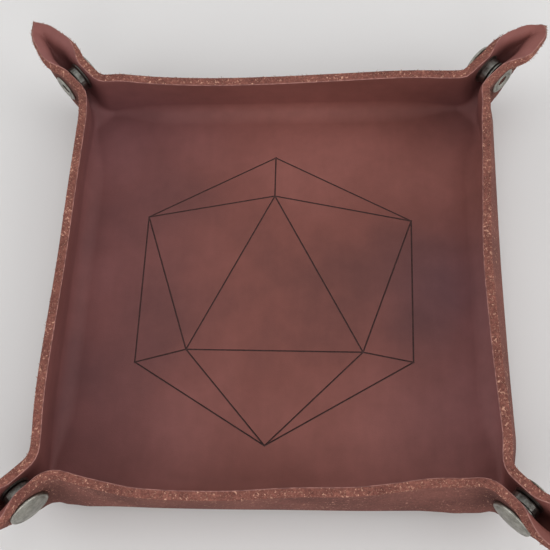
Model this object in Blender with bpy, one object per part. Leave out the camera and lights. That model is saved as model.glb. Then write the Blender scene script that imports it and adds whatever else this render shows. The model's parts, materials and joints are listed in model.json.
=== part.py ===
"""Fold-flat leather dice tray.

One square of thick leather is creased into a floor, four walls and four doubled
corner ears. A snap through each ear holds two walls up. With the four snaps undone
the sheet opens flat.

The sheet is modelled as the panels between its creases. Every panel hangs from an
object whose origin lies on its crease, so turning that object folds the sheet.
Front is -Y, the floor's underside is at z = 0, and the tray stands snapped shut.
"""
import math

import bmesh
import bpy
from mathutils import Matrix, Vector

# Leather sheet
SHEET_SIDE = 0.226
WALL_DEPTH = 0.030
LEATHER = 0.0032
CREASE_SLANT_DEG = 10.0

# Gap between pieces that touch, and the play of a moving or riveted fit
FIT = 0.0003

# Cap: the domed outer half, whose barrel rivets the socket to the leather
CAP_RADIUS = 0.0075
CAP_EDGE = 0.0011
CAP_DOME = 0.0012
CAP_LIP = 0.0005
CAP_BARREL_RADIUS = 0.0023
CAP_BORE_RADIUS = 0.0018
CAP_FLARE_RADIUS = 0.0030
CAP_FLARE = 0.0004

# Socket: the half that the stud clicks into
SOCKET_RADIUS = 0.0062
SOCKET_BODY_RADIUS = 0.0054
SOCKET_HEIGHT = 0.0037
SOCKET_BASE = 0.0005
SOCKET_LIP = 0.00035
SOCKET_ROUND = 0.0006

# Spring ring inside the socket
SPRING_WIRE_RADIUS = 0.00025
SPRING_OPENING_DEG = 50.0
STUD_PLAY = 0.00035

# Stud and the eyelet that rivets it to the leather
STUD_RADIUS = 0.0056
STUD_BASE = 0.0008
STUD_KNOB = 0.0018
STUD_HEAD_RADIUS = 0.0029
STUD_NECK_RADIUS = 0.0026
EYELET_RADIUS = 0.0056
EYELET_FLANGE = 0.0007
EYELET_BORE_RADIUS = 0.00165
EYELET_WALL = 0.00035
EYELET_FLARE = 0.0003

# Engraved twenty-sided die on the floor
FIGURE_RADIUS = 0.0616
FIGURE_TOP_SHARE = 0.68
FIGURE_FOOT_SHARES = (0.555, -0.415)
GROOVE_WIDTH = 0.0007
GROOVE_DEPTH = 0.0004

# The two halves of an ear keep this play at the foot of their ridge, where the
# fold brings them closest half way open. It narrows to FIT / 2 at the tip.
RIDGE_PLAY = 0.0008

# How far a cutter runs past what it cuts
OVERRUN = 0.001
MERGE = 0.000001

# Facets round a turned piece, and over the ear's quarter bend
TURNED_STEPS = 24
SPRING_SIDES = 6
SPRING_STEPS = 14
BEND_STEPS = 5

# Folded shape, worked out from the sheet
FLOOR_SIDE = SHEET_SIDE - 2 * WALL_DEPTH
SLANT = math.radians(CREASE_SLANT_DEG)
LEAN = math.asin(math.tan(SLANT))
WALL_FOLD = math.pi / 2 + LEAN
EAR_FOLD = math.acos(math.cos(LEAN) / math.sqrt(2))

# The two leather layers of an ear stand this far apart, which the snap fills
LAYER_GAP = SOCKET_HEIGHT + STUD_BASE + 3 * FIT
CREASE_INSET = math.sqrt(2) * (LAYER_GAP / 2 + LEATHER) - LEATHER * math.cos(LEAN)

# Quarter bend along an ear's ridge: inside radius, and its length in the flat sheet
RIDGE_RADIUS = LAYER_GAP / 2
RIDGE_ARC = math.pi / 2 * (RIDGE_RADIUS + LEATHER / 2)

BARREL_HOLE_RADIUS = CAP_BARREL_RADIUS + FIT
EYELET_BARREL_RADIUS = EYELET_BORE_RADIUS + EYELET_WALL
EYELET_HOLE_RADIUS = EYELET_BARREL_RADIUS + FIT

LEATHER_COLOUR = (0.13, 0.045, 0.034, 1.0)
METAL_COLOUR = (0.20, 0.19, 0.165, 1.0)
DARK_METAL_COLOUR = (0.10, 0.097, 0.09, 1.0)

# Each wall with its turn about Z and the corners at its +X and -X ends
WALLS = {
    "front": (180.0, "front_left", "front_right"),
    "right": (-90.0, "front_right", "back_right"),
    "back": (0.0, "back_right", "back_left"),
    "left": (90.0, "back_left", "front_left"),
}


def clear_scene():
    for obj in list(bpy.data.objects):
        bpy.data.objects.remove(obj, do_unlink=True)


def make_material(name, colour, metallic, roughness):
    material = bpy.data.materials.new(name)
    material.use_nodes = True
    shader = material.node_tree.nodes["Principled BSDF"]
    shader.inputs["Base Color"].default_value = colour
    shader.inputs["Metallic"].default_value = metallic
    shader.inputs["Roughness"].default_value = roughness
    material.diffuse_color = colour
    return material


def leather_material(name):
    return make_material(name + "_leather", LEATHER_COLOUR, 0.0, 0.55)


def metal_material(name, colour=METAL_COLOUR):
    return make_material(name + "_metal", colour, 1.0, 0.4)


def add_object(name, bm, material, parent=None):
    """Turn a bmesh into a named object that hangs from its parent."""
    bmesh.ops.remove_doubles(bm, verts=bm.verts, dist=MERGE)
    bmesh.ops.recalc_face_normals(bm, faces=bm.faces)
    mesh = bpy.data.meshes.new(name)
    bm.to_mesh(mesh)
    bm.free()
    obj = bpy.data.objects.new(name, mesh)
    bpy.context.scene.collection.objects.link(obj)
    obj.parent = parent
    if material is not None:
        mesh.materials.append(material)
    return obj


def smooth(obj):
    obj.data.shade_smooth()
    obj.data.set_sharp_from_angle(angle=math.radians(35.0))


def cut(obj, cutter, crossing=False):
    """Cut obj with a cutter that stays in the file, hidden from renders."""
    cutter.hide_render = True
    cutter.display_type = "WIRE"
    modifier = obj.modifiers.new("cut_" + cutter.name, "BOOLEAN")
    modifier.operation = "DIFFERENCE"
    modifier.solver = "EXACT"
    modifier.use_self = crossing
    modifier.object = cutter


def prism(outline, low, high):
    """A closed prism over a plane outline, between two heights."""
    bm = bmesh.new()
    base = bm.faces.new([bm.verts.new((x, y, low)) for x, y in outline])
    grown = bmesh.ops.extrude_face_region(bm, geom=[base])
    top = [item for item in grown["geom"] if isinstance(item, bmesh.types.BMVert)]
    bmesh.ops.translate(bm, verts=top, vec=(0, 0, high - low))
    return bm


def turned(profile, closed=False):
    """Spin a profile of (radius, height) points about Z."""
    bm = bmesh.new()
    verts = [bm.verts.new((radius, 0, height)) for radius, height in profile]
    pairs = list(zip(verts, verts[1:]))
    if closed:
        pairs.append((verts[-1], verts[0]))
    edges = [bm.edges.new(pair) for pair in pairs]
    bmesh.ops.spin(
        bm, geom=verts + edges, cent=(0, 0, 0), axis=(0, 0, 1),
        angle=2 * math.pi, steps=TURNED_STEPS, use_merge=True,
    )
    return bm


def arc(centre, radius, start_deg, end_deg, steps):
    """Points of an arc in the (radius, height) plane."""
    points = []
    for step in range(steps + 1):
        turn = math.radians(start_deg + (end_deg - start_deg) * step / steps)
        points.append((centre[0] + radius * math.cos(turn), centre[1] + radius * math.sin(turn)))
    return points


# Leather panels

def figure_lines():
    """Corner pairs of the engraved die, seen nearly along the middle of one face."""
    first = Vector((0, FIGURE_RADIUS))
    rim = [Matrix.Rotation(-math.radians(60.0 * corner), 2) @ first for corner in range(6)]
    foot = Vector(FIGURE_FOOT_SHARES) * FIGURE_RADIUS
    face = [rim[0] * FIGURE_TOP_SHARE, foot, Vector((-foot.x, foot.y))]
    lines = [(rim[corner], rim[(corner + 1) % 6]) for corner in range(6)]
    for index, corner in enumerate((0, 2, 4)):
        lines.append((face[index], face[(index + 1) % 3]))
        for neighbour in (corner - 1, corner, corner + 1):
            lines.append((face[index], rim[neighbour % 6]))
    return lines


def engraving_cutter(parent):
    """Crossing bars, one along each engraved line."""
    bm = bmesh.new()
    for start, end in figure_lines():
        run = (end - start).normalized() * GROOVE_WIDTH / 2
        side = Vector((-run.y, run.x))
        corners = [start - run - side, end + run - side, end + run + side, start - run + side]
        bar = prism([tuple(corner) for corner in corners], -GROOVE_DEPTH, OVERRUN)
        mesh = bpy.data.meshes.new("bar")
        bar.to_mesh(mesh)
        bar.free()
        bm.from_mesh(mesh)
        bpy.data.meshes.remove(mesh)
    bmesh.ops.recalc_face_normals(bm, faces=bm.faces)
    mesh = bpy.data.meshes.new("engraving_cutter")
    bm.to_mesh(mesh)
    bm.free()
    cutter = bpy.data.objects.new("engraving_cutter", mesh)
    bpy.context.scene.collection.objects.link(cutter)
    cutter.parent = parent
    return cutter


def make_floor():
    half = FLOOR_SIDE / 2 - FIT / 2
    outline = [(-half, -half), (half, -half), (half, half), (-half, half)]
    floor = add_object("floor_panel", prism(outline, -LEATHER, 0), leather_material("floor"))
    floor.location = (0, 0, LEATHER)
    cut(floor, engraving_cutter(floor), crossing=True)
    return floor


def make_wall(name, turn_deg, floor):
    """A wall lies in its own XY plane, hinge along X, and is turned up by WALL_FOLD."""
    foot = FLOOR_SIDE / 2 - CREASE_INSET
    inset = FIT / 2 / math.cos(SLANT)
    low = FIT / 2
    outline = []
    for side, height in ((-1, low), (1, low), (1, WALL_DEPTH), (-1, WALL_DEPTH)):
        outline.append((side * (foot - inset - height * math.tan(SLANT)), height))
    wall = add_object(name + "_wall", prism(outline, -LEATHER, 0), leather_material(name), floor)
    turn = math.radians(turn_deg)
    outward = Vector((-math.sin(turn), math.cos(turn), 0))
    wall.location = outward * FLOOR_SIDE / 2
    wall.rotation_euler = (WALL_FOLD, 0, turn)
    return wall


def ear_frame(side):
    """From the wall's plane to an ear's: origin on the flesh side of the crease."""
    place = Matrix.Translation((side * (FLOOR_SIDE / 2 - CREASE_INSET), 0, -LEATHER))
    return place @ Matrix.Rotation(side * SLANT, 4, "Z")


def ear_point(side, along, off, depth):
    """A point of an ear in its own frame.

    along runs up the ridge from the floor's corner, off is the distance from the
    ridge in the flat sheet, and depth is 0 on the flesh side, LEATHER on the grain
    side. Within RIDGE_ARC of the ridge the leather turns up through a quarter bend.
    """
    lift = 0.0
    if off < RIDGE_ARC:
        turn = (RIDGE_ARC - off) / RIDGE_ARC * math.pi / 2
        radius = RIDGE_RADIUS + LEATHER - depth
        off = RIDGE_ARC - radius * math.sin(turn)
        lift = RIDGE_RADIUS + LEATHER - depth - radius * math.cos(turn)
    x = side * (FLOOR_SIDE / 2 + (along - off) / math.sqrt(2))
    y = (along + off) / math.sqrt(2)
    flat = ear_frame(side).inverted() @ Vector((x, y, -LEATHER))
    return flat + Vector((0, 0, depth + lift))


def seam_off(play):
    """Flat distance off the ridge at which the bend stays this far from the middle."""
    return math.asin(play / RIDGE_RADIUS) * RIDGE_ARC / (math.pi / 2)


def ear_outline():
    """Columns across the bend, as low and high ends, and the crease's head.

    Each point is a distance along the ridge and a distance off it, in the flat sheet.
    """
    foot = Vector((-CREASE_INSET, 0))
    head = Vector((-CREASE_INSET - WALL_DEPTH * math.tan(SLANT), WALL_DEPTH))
    shift = FIT / 2 / math.cos(SLANT)

    def ridge_frame(point):
        x, y = point
        return (x + shift + y) / math.sqrt(2), (y - x - shift) / math.sqrt(2)

    foot_along, foot_off = ridge_frame(foot)
    head_along, head_off = ridge_frame(head)
    slope = (head_along - foot_along) / (head_off - foot_off)
    bend_along = foot_along + (RIDGE_ARC - foot_off) * slope
    tip_seam, foot_seam = seam_off(FIT / 2), seam_off(RIDGE_PLAY)
    columns = []
    for step in range(BEND_STEPS + 1):
        share = step / BEND_STEPS
        low_off = foot_seam + (RIDGE_ARC - foot_seam) * share
        high_off = tip_seam + (RIDGE_ARC - tip_seam) * share
        low_along = RIDGE_PLAY + (bend_along - RIDGE_PLAY) * share
        high_along = WALL_DEPTH * math.sqrt(2) - high_off
        columns.append(((low_along, low_off), (high_along, high_off)))
    return columns, (head_along, head_off)


def make_ear(name, side, wall):
    """Half of a corner ear: a flat triangle and its quarter bend along the ridge."""
    columns, crease_head = ear_outline()
    bm = bmesh.new()

    def pair(place):
        return [bm.verts.new(ear_point(side, *place, depth)) for depth in (0, LEATHER)]

    low = [pair(start) for start, end in columns]
    high = [pair(end) for start, end in columns]
    head = pair(crease_head)
    for step in range(BEND_STEPS):
        for depth in (0, 1):
            bm.faces.new([low[step][depth], low[step + 1][depth],
                          high[step + 1][depth], high[step][depth]])
        bm.faces.new([low[step][0], low[step + 1][0], low[step + 1][1], low[step][1]])
        bm.faces.new([high[step][0], high[step + 1][0], high[step + 1][1], high[step][1]])
    for depth in (0, 1):
        bm.faces.new([low[-1][depth], high[-1][depth], head[depth]])
    bm.faces.new([low[-1][0], head[0], head[1], low[-1][1]])
    bm.faces.new([high[-1][0], head[0], head[1], high[-1][1]])
    bm.faces.new([low[0][0], high[0][0], high[0][1], low[0][1]])
    ear = add_object(name, bm, leather_material(name), wall)
    ear.matrix_basis = ear_frame(side) @ Matrix.Rotation(side * EAR_FOLD, 4, "Y")
    return ear


def snap_place(side):
    """Centre of the snap in the ear's frame, on the flesh side.

    Its socket lies against the quarter bend along the ridge, and the snap is as far
    from the rim as from the crease. Both distances give one linear equation.
    """
    from_ridge = RIDGE_ARC + SOCKET_RADIUS + FIT
    rise = 1 + math.tan(SLANT)
    reach = WALL_DEPTH * rise + CREASE_INSET - math.sqrt(2) * from_ridge
    from_crease = reach / ((1 + math.sin(SLANT)) * rise + math.cos(SLANT) - math.sin(SLANT))
    along = (WALL_DEPTH - from_crease * (1 + math.sin(SLANT))) / math.cos(SLANT)
    return Vector((side * from_crease, along, 0))


def punch(ear, side, radius):
    """The round hole that a barrel passes through."""
    outline = arc((0, 0), radius, 0.0, 360.0, TURNED_STEPS)[:-1]
    bm = prism(outline, -OVERRUN, LEATHER + OVERRUN)
    cutter = add_object(ear.name + "_punch", bm, None, ear)
    cutter.location = snap_place(side)
    cut(ear, cutter)


def place_outside(obj, side):
    """Seat a turned piece on the flesh side, its +Z pointing out of the leather."""
    obj.location = snap_place(side) - Vector((0, 0, FIT))
    obj.rotation_euler = (math.pi, 0, 0)
    smooth(obj)


def place_inside(obj, side):
    """Seat a turned piece on the grain side, its +Z pointing at the other layer."""
    obj.location = snap_place(side) + Vector((0, 0, LEATHER + FIT))
    smooth(obj)


# Snap pieces, each standing on z = 0 of its own frame

def make_cap(corner, ear, side):
    """Domed cap whose hollow barrel is flared inside the socket."""
    flare_top = -(FIT + LEATHER + FIT + SOCKET_BASE + FIT)
    crown = CAP_EDGE + CAP_DOME
    dome_radius = (CAP_RADIUS ** 2 + CAP_DOME ** 2) / (2 * CAP_DOME)
    dome_turn = math.degrees(math.asin(CAP_RADIUS / dome_radius))
    dome = arc((0, crown - dome_radius), dome_radius, 90.0, 90.0 - dome_turn, 4)
    profile = dome + [
        (CAP_RADIUS, CAP_LIP / 2),
        (CAP_RADIUS - CAP_LIP, 0),
        (CAP_BARREL_RADIUS, 0),
        (CAP_BARREL_RADIUS, flare_top),
        (CAP_FLARE_RADIUS, flare_top),
        (CAP_FLARE_RADIUS, flare_top - CAP_FLARE),
        (CAP_BORE_RADIUS, flare_top - CAP_FLARE),
        (CAP_BORE_RADIUS, 0),
        (0, 0),
    ]
    cap = add_object("snap_cap_" + corner, turned(profile), metal_material("cap_" + corner), ear)
    place_outside(cap, side)


def spring_radius():
    """Radius of the spring ring's wire centre, with play round the stud's head."""
    return STUD_HEAD_RADIUS + STUD_PLAY + SPRING_WIRE_RADIUS


def socket_groove_radius():
    return spring_radius() + SPRING_WIRE_RADIUS + STUD_PLAY


def spring_height():
    return SOCKET_HEIGHT - SOCKET_LIP - FIT - SPRING_WIRE_RADIUS


def make_socket(corner, ear, side):
    """Socket with a groove under its lip for the spring ring."""
    groove = socket_groove_radius()
    mouth = STUD_HEAD_RADIUS + STUD_PLAY
    shoulder = (SOCKET_BODY_RADIUS - SOCKET_ROUND, SOCKET_HEIGHT - SOCKET_ROUND)
    profile = [
        (BARREL_HOLE_RADIUS, 0),
        (SOCKET_RADIUS, 0),
        (SOCKET_RADIUS, SOCKET_BASE),
        (SOCKET_BODY_RADIUS, SOCKET_BASE + SOCKET_ROUND),
    ]
    profile += arc(shoulder, SOCKET_ROUND, 0.0, 90.0, 3)
    profile += [
        (mouth, SOCKET_HEIGHT),
        (mouth, SOCKET_HEIGHT - SOCKET_LIP),
        (groove, SOCKET_HEIGHT - SOCKET_LIP),
        (groove, SOCKET_BASE),
        (BARREL_HOLE_RADIUS, SOCKET_BASE),
    ]
    material = metal_material("socket_" + corner, DARK_METAL_COLOUR)
    socket = add_object("snap_socket_" + corner, turned(profile, closed=True), material, ear)
    place_inside(socket, side)


def make_spring(corner, ear, side):
    """Open ring of round wire in the socket's groove."""
    bm = bmesh.new()
    circle = arc((spring_radius(), spring_height()), SPRING_WIRE_RADIUS, 0.0, 360.0, SPRING_SIDES)
    verts = [bm.verts.new((radius, 0, height)) for radius, height in circle[:-1]]
    bm.faces.new(verts)
    turn = math.radians(360.0 - SPRING_OPENING_DEG)
    bmesh.ops.spin(
        bm, geom=bm.faces[:], cent=(0, 0, 0), axis=(0, 0, 1), angle=turn, steps=SPRING_STEPS,
    )
    material = metal_material("spring_" + corner, DARK_METAL_COLOUR)
    spring = add_object("snap_spring_" + corner, bm, material, ear)
    place_inside(spring, side)


def make_stud(corner, ear, side):
    """Stud with a hollow knob, held by the eyelet's barrel."""
    top = STUD_BASE + STUD_KNOB
    belly = STUD_BASE + STUD_KNOB / 2
    profile = [
        (EYELET_HOLE_RADIUS, 0),
        (STUD_RADIUS, 0),
        (STUD_RADIUS, STUD_BASE / 2),
        (STUD_RADIUS - STUD_BASE / 2, STUD_BASE),
        (STUD_NECK_RADIUS, STUD_BASE),
        (STUD_HEAD_RADIUS, belly),
        (STUD_HEAD_RADIUS, (belly + top) / 2),
        (STUD_NECK_RADIUS, top),
        (EYELET_HOLE_RADIUS, top),
    ]
    material = metal_material("stud_" + corner, DARK_METAL_COLOUR)
    stud = add_object("snap_stud_" + corner, turned(profile, closed=True), material, ear)
    place_inside(stud, side)


def make_eyelet(corner, ear, side):
    """Flanged tube whose end is flared over the stud's knob."""
    flare = -(FIT + LEATHER + FIT + STUD_BASE + STUD_KNOB + FIT)
    bore = EYELET_BORE_RADIUS
    barrel = EYELET_BARREL_RADIUS
    profile = [
        (bore + EYELET_FLANGE, EYELET_FLANGE),
        (EYELET_RADIUS - EYELET_FLANGE / 2, EYELET_FLANGE),
        (EYELET_RADIUS, EYELET_FLANGE / 2),
        (EYELET_RADIUS, 0),
        (barrel, 0),
        (barrel, flare),
        (barrel + EYELET_WALL, flare),
        (barrel + EYELET_WALL, flare - EYELET_FLARE),
        (bore, flare - EYELET_FLARE),
        (bore, 0),
    ]
    eyelet = add_object("snap_eyelet_" + corner, turned(profile, closed=True),
                        metal_material("eyelet_" + corner), ear)
    place_outside(eyelet, side)


def make_tray():
    """Front and back walls carry the caps, side walls the studs."""
    floor = make_floor()
    for name, (turn_deg, *corners) in WALLS.items():
        wall = make_wall(name, turn_deg, floor)
        for side, corner in zip((1, -1), corners):
            ear = make_ear(corner + "_ear_" + name, side, wall)
            if name in ("front", "back"):
                punch(ear, side, BARREL_HOLE_RADIUS)
                make_cap(corner, ear, side)
                make_socket(corner, ear, side)
                make_spring(corner, ear, side)
            else:
                punch(ear, side, EYELET_HOLE_RADIUS)
                make_stud(corner, ear, side)
                make_eyelet(corner, ear, side)


clear_scene()
make_tray()
bpy.context.view_layer.update()
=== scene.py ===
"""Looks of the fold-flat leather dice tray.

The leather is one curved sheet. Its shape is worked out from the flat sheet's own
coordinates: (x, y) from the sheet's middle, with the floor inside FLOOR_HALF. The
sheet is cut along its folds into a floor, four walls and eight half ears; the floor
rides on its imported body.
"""
import json
import math
import random

import bmesh
import bpy
import numpy as np
from mathutils import Matrix, Quaternion, Vector, noise

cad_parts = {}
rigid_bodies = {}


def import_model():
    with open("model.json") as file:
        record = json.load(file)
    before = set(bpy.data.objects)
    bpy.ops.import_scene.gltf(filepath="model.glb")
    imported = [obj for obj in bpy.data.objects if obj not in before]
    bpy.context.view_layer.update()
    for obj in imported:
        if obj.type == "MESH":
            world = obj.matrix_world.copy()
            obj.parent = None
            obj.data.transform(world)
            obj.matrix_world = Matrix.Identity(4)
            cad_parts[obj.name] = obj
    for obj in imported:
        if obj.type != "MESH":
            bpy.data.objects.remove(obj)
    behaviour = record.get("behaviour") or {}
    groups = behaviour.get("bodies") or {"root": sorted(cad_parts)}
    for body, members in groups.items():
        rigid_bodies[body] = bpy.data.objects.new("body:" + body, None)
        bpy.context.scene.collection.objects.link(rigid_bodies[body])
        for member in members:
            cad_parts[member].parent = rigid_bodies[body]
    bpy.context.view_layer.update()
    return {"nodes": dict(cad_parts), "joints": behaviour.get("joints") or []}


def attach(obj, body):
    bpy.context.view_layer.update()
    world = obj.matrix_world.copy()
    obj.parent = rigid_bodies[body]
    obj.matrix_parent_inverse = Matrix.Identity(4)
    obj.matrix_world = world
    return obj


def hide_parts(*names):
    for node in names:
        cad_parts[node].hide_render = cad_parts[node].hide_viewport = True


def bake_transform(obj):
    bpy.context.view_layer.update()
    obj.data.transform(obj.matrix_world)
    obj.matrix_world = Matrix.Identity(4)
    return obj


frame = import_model()
MM = 0.001

# Flat sheet and its folds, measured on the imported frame
JOINTS = {joint["name"]: joint for joint in frame["joints"]}
FRONT_FOLD = JOINTS["front_wall_fold"]
CREASE = next(joint for joint in frame["joints"] if joint["parent"] == "front_wall")
FLOOR_HALF = abs(FRONT_FOLD["pos_m"][1])
LEATHER = FRONT_FOLD["pos_m"][2]
CREASE_FOOT = abs(CREASE["pos_m"][0])
SLANT = math.asin(abs(CREASE["axis"][0]))
WALL_DEPTH = 30.0 * MM
SHEET_HALF = FLOOR_HALF + WALL_DEPTH
MIDDLE = LEATHER / 2
LEAN = math.asin(math.tan(SLANT))
WALL_FOLD = math.pi / 2 + LEAN
EAR_FOLD = math.acos(math.cos(LEAN) / math.sqrt(2))
EAR_LENGTH = math.sqrt(2) * WALL_DEPTH
CREASE_INSET = FLOOR_HALF - CREASE_FOOT
LAYER_GAP = 2 * ((CREASE_INSET + LEATHER * math.cos(LEAN)) / math.sqrt(2) - LEATHER)

# Bends, as radii of the leather's middle surface
WALL_BEND = 8.0 * MM
WALL_BEND_END = 3.2 * MM
WALL_BEND_RUN = 30.0 * MM
CREASE_BEND_FOOT = 3.0 * MM
CREASE_BEND_RIM = 10.0 * MM
RIDGE_BEND = LAYER_GAP / 2 + MIDDLE
RIDGE_ARC = math.pi / 2 * RIDGE_BEND
PINCH_RADIUS = 9.0 * MM
PINCH_STEP = 0.5 * MM
SHEET_STEP = 1.5 * MM
SLOPE_STEP = 0.4 * MM

# Each wall with its turn about Z and the corners at its +X and -X ends
WALLS = {
    "front": (180.0, "front_left", "front_right"),
    "right": (-90.0, "front_right", "back_right"),
    "back": (0.0, "back_right", "back_left"),
    "left": (90.0, "back_left", "front_left"),
}

# Outward push in millimetres of each wall's rim and of its belly half way up, at
# shares of the wall's length from its -X end to its +X end in its own frame
RIM_WAVES = {
    "front": [(-1.0, 1.0), (-0.85, -0.7), (-0.7, 0.7), (-0.5, 3.5), (-0.3, 4.3), (-0.1, 4.2),
              (0.1, 6.0), (0.3, 6.2), (0.5, 6.2), (0.7, 4.9), (0.85, 1.2), (1.0, 0.8)],
    "right": [(-1.0, 1.6), (-0.6, 0.2), (0.0, -2.4), (0.5, -1.4), (1.0, 0.6)],
    "back": [(-1.0, 1.6), (-0.7, -1.3), (-0.35, -2.4), (0.0, -2.1), (0.35, -1.2), (0.7, -0.2),
             (1.0, -1.0)],
    "left": [(-1.0, -0.6), (-0.7, 0.6), (-0.35, 0.0), (0.0, -0.7), (0.35, -0.7), (0.7, -1.0),
             (1.0, -1.2)],
}
BELLIES = {
    "front": [(-1.0, 0.4), (-0.4, 0.9), (0.3, 1.1), (1.0, 1.3)],
    "right": [(-1.0, 1.4), (0.0, 1.6), (1.0, 1.2)],
    "back": [(-1.0, 0.4), (1.0, 0.4)],
    "left": [(-1.0, 0.3), (1.0, 0.3)],
}
WAVE_BLUR = 0.06
WAVE_TAPS = (-2, -1, 0, 1, 2)
WAVE_POWER = 1.3
WAVE_FADE = 15.0 * MM
WAVE_END = 2.4 * MM

# How far each wall's foot stands outward
FOOT_SHIFTS = {"front": 0.9 * MM, "right": 0.6 * MM, "back": 0.0, "left": 0.0}
FOOT_SHIFT_RUN = 9.0 * MM

# Shares of the way up a wall or out to a rim carry on to a little past the rim
PAST_RIM = 1.1

# Ears: past the snap the two layers open like a tulip
CUP_START = 21.0 * MM
CUP_FULL = 32.0 * MM
CUP_RIDGE_ARC = 3.4 * MM
CUP_SIDE_DEG = 72.0
CUP_LIP = 6.0 * MM
CUP_LIP_DEG = 52.0
SECTION_STEPS = 24

# How far each ear's tip is bent away from its regular place, in millimetres
TIP_BENDS = {
    "front_left": (0.8, -0.8, 0.6),
    "front_right": (-0.8, -0.6, 0.8),
    "back_right": (2.4, -4.6, -3.0),
    "back_left": (1.6, 0.4, 0.6),
}
TIP_BEND_START = 19.0 * MM
TIP_BEND_POWER = 1.6

# Ears whose crease is sharper at the rim than CREASE_BEND_RIM, from a share of its height on
SHARP_CREASES = {
    "front_left_ear_left": 8.0 * MM,
    "front_right_ear_right": 8.0 * MM,
    "back_right_ear_right": 5.0 * MM,
    "back_right_ear_back": 4.0 * MM,
    "back_left_ear_left": 7.5 * MM,
    "back_left_ear_back": 7.5 * MM,
}
SHARP_START = 0.3
SHARP_RUN = 0.5

# How far the lip of an ear leans over, in millimetres along X and Y
LIP_LEANS = {
    "front_left_ear_left": (0.5, -1.4),
    "front_right_ear_right": (-0.3, -1.6),
    "back_right_ear_back": (0.9, -0.9),
    "back_right_ear_right": (1.8, -0.8),
}
LIP_START = 4.0 * MM
LIP_RUN = 11.0 * MM
LIP_END = 26.0 * MM
LIP_POWER = 3

# Raw edge: (share through the thickness from the grain, outward push in millimetres)
RIM_PROFILE = [(0.09, 0.17), (0.3, 0.26), (0.6, 0.24), (0.88, 0.14)]
RIM_ROUGH = 0.24 * MM
RIM_ROUGH_SIZE = 1.1 * MM
FLAT_TOLERANCE = 0.001 * MM
GRAIN_SLOT, FLESH_SLOT, EDGE_SLOT, WORN_HIGHLIGHT_SLOT, FIBRE_SLOT = range(5)

# Loose fibres of the raw edge; the last four are ranges of their directions
FIBRES_PER_STEP = 6
FIBRE_LENGTH = (0.3 * MM, 1.2 * MM)
FIBRE_WIDTH = 0.2 * MM
FIBRE_ROOT = 0.1 * MM
FIBRE_DEPTH_POWER = 0.6
FIBRE_SIDEWAYS = (-1.2, 1.2)
FIBRE_UPWARD = (-0.9, 0.5)
FIBRE_ROOT_AHEAD = (0.4, 1.0)
FIBRE_TIP_AHEAD = (-0.3, 0.6)

# Engraved twenty-sided die. It isn't quite regular: the nudges, in millimetres, are of its
# six outer corners, clockwise from the top, and of its middle face's three
FIGURE_RADIUS = 61.6 * MM
FIGURE_TOP_SHARE = 0.68
FIGURE_FOOT_SHARES = (0.555, -0.415)
FIGURE_PLACE = (-1.3 * MM, -1.3 * MM)
RIM_NUDGES = [(-1.1, -1.5), (1.5, -0.8), (0.6, 1.2), (-1.7, -0.5), (-0.1, 0.4), (0.0, 1.7)]
FACE_NUDGES = [(-1.0, 0.0), (0.7, -0.2), (0.5, 0.5)]
GROOVE_WIDTH = 0.6 * MM
GROOVE_FOOT_WIDTH = 0.3 * MM
GROOVE_DEPTH = 0.4 * MM

# Snap caps: a domed face, a groove round it and a rolled edge
CAP_RADIUS = 7.5 * MM
CAP_HEIGHT = 2.3 * MM
CAP_CROWN = 0.75 * MM
CAP_BEAD = 0.75 * MM
CAP_BEAD_HEIGHT = 0.62 * MM
CAP_FACE_RADIUS = CAP_RADIUS - 2.2 * CAP_BEAD
CAP_FACE_STEPS = 8
CAP_GROOVE_RADIUS = CAP_FACE_RADIUS + 0.25 * MM
CAP_GROOVE_HEIGHT = CAP_HEIGHT - 0.98 * MM
CAP_FOOT_HEIGHT = 0.05 * MM

# Eyelets: a rounded flange with a ring groove, and a tarnished bore
EYELET_RADIUS = 5.6 * MM
EYELET_FLANGE = 0.7 * MM
EYELET_BORE = 2.1 * MM
EYELET_WALL = 0.35 * MM
EYELET_GROOVE = 3.7 * MM
EYELET_GROOVE_RADIUS = 0.32 * MM
EYELET_REACH = LEATHER + 2.9 * MM
TARNISH_BAND = 0.12 * MM
TARNISH_TOP = 0.3 * MM

# Steps round a turned piece, and from which angle on edges stay sharp
TURNED_STEPS = 64
TURNED_SHARP_DEG = 40.0
PACKED_SHARP_DEG = 35.0

# Colour ramps: position and linear colour
GRAIN_RAMP = [(0.06, (0.104, 0.039, 0.034)), (0.34, (0.17, 0.058, 0.047)), (0.66, (0.235, 0.085, 0.071))]
GRAIN_MOTTLE = [(0.3, (0.93,) * 3), (0.7, (1.06,) * 3)]
GRAIN_STREAKS = [(0.35, (0.98,) * 3), (0.65, (1.02,) * 3)]
FLESH_RAMP = [(0.3, (0.122, 0.05, 0.042)), (0.7, (0.184, 0.074, 0.06))]
FLESH_NAP = [(0.35, (0.78,) * 3), (0.65, (1.2,) * 3)]
EDGE_RAMP = [(0.32, (0.125, 0.048, 0.04)), (0.56, (0.205, 0.078, 0.062)), (0.7, (0.29, 0.12, 0.092))]
EDGE_PATCHES = [(0.35, (0.84, 0.82, 0.82)), (0.65, (1.16, 1.16, 1.12))]
# Pale line along the grain's corner of the raw edge: partly wear, partly a painted highlight of that
# rounded corner
WORN_HIGHLIGHT_RAMP = [(0.35, (0.15, 0.058, 0.05)), (0.62, (0.33, 0.15, 0.125))]
FIBRE_RAMP = [(0.35, (0.19, 0.074, 0.056)), (0.66, (0.44, 0.23, 0.165))]
CHAR_RAMP = [(0.3, (0.034, 0.014, 0.013)), (0.7, (0.072, 0.027, 0.024))]
PEWTER_RAMP = [(0.35, (0.2, 0.195, 0.17)), (0.65, (0.36, 0.35, 0.31))]
DARK_PEWTER_RAMP = [(0.35, (0.1, 0.096, 0.086)), (0.65, (0.24, 0.235, 0.215))]
TARNISH_RAMP = [(0.35, (0.012, 0.011, 0.01)), (0.65, (0.03, 0.028, 0.025))]
GROUND_COLOUR = (0.66, 0.65, 0.645, 1.0)

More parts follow.
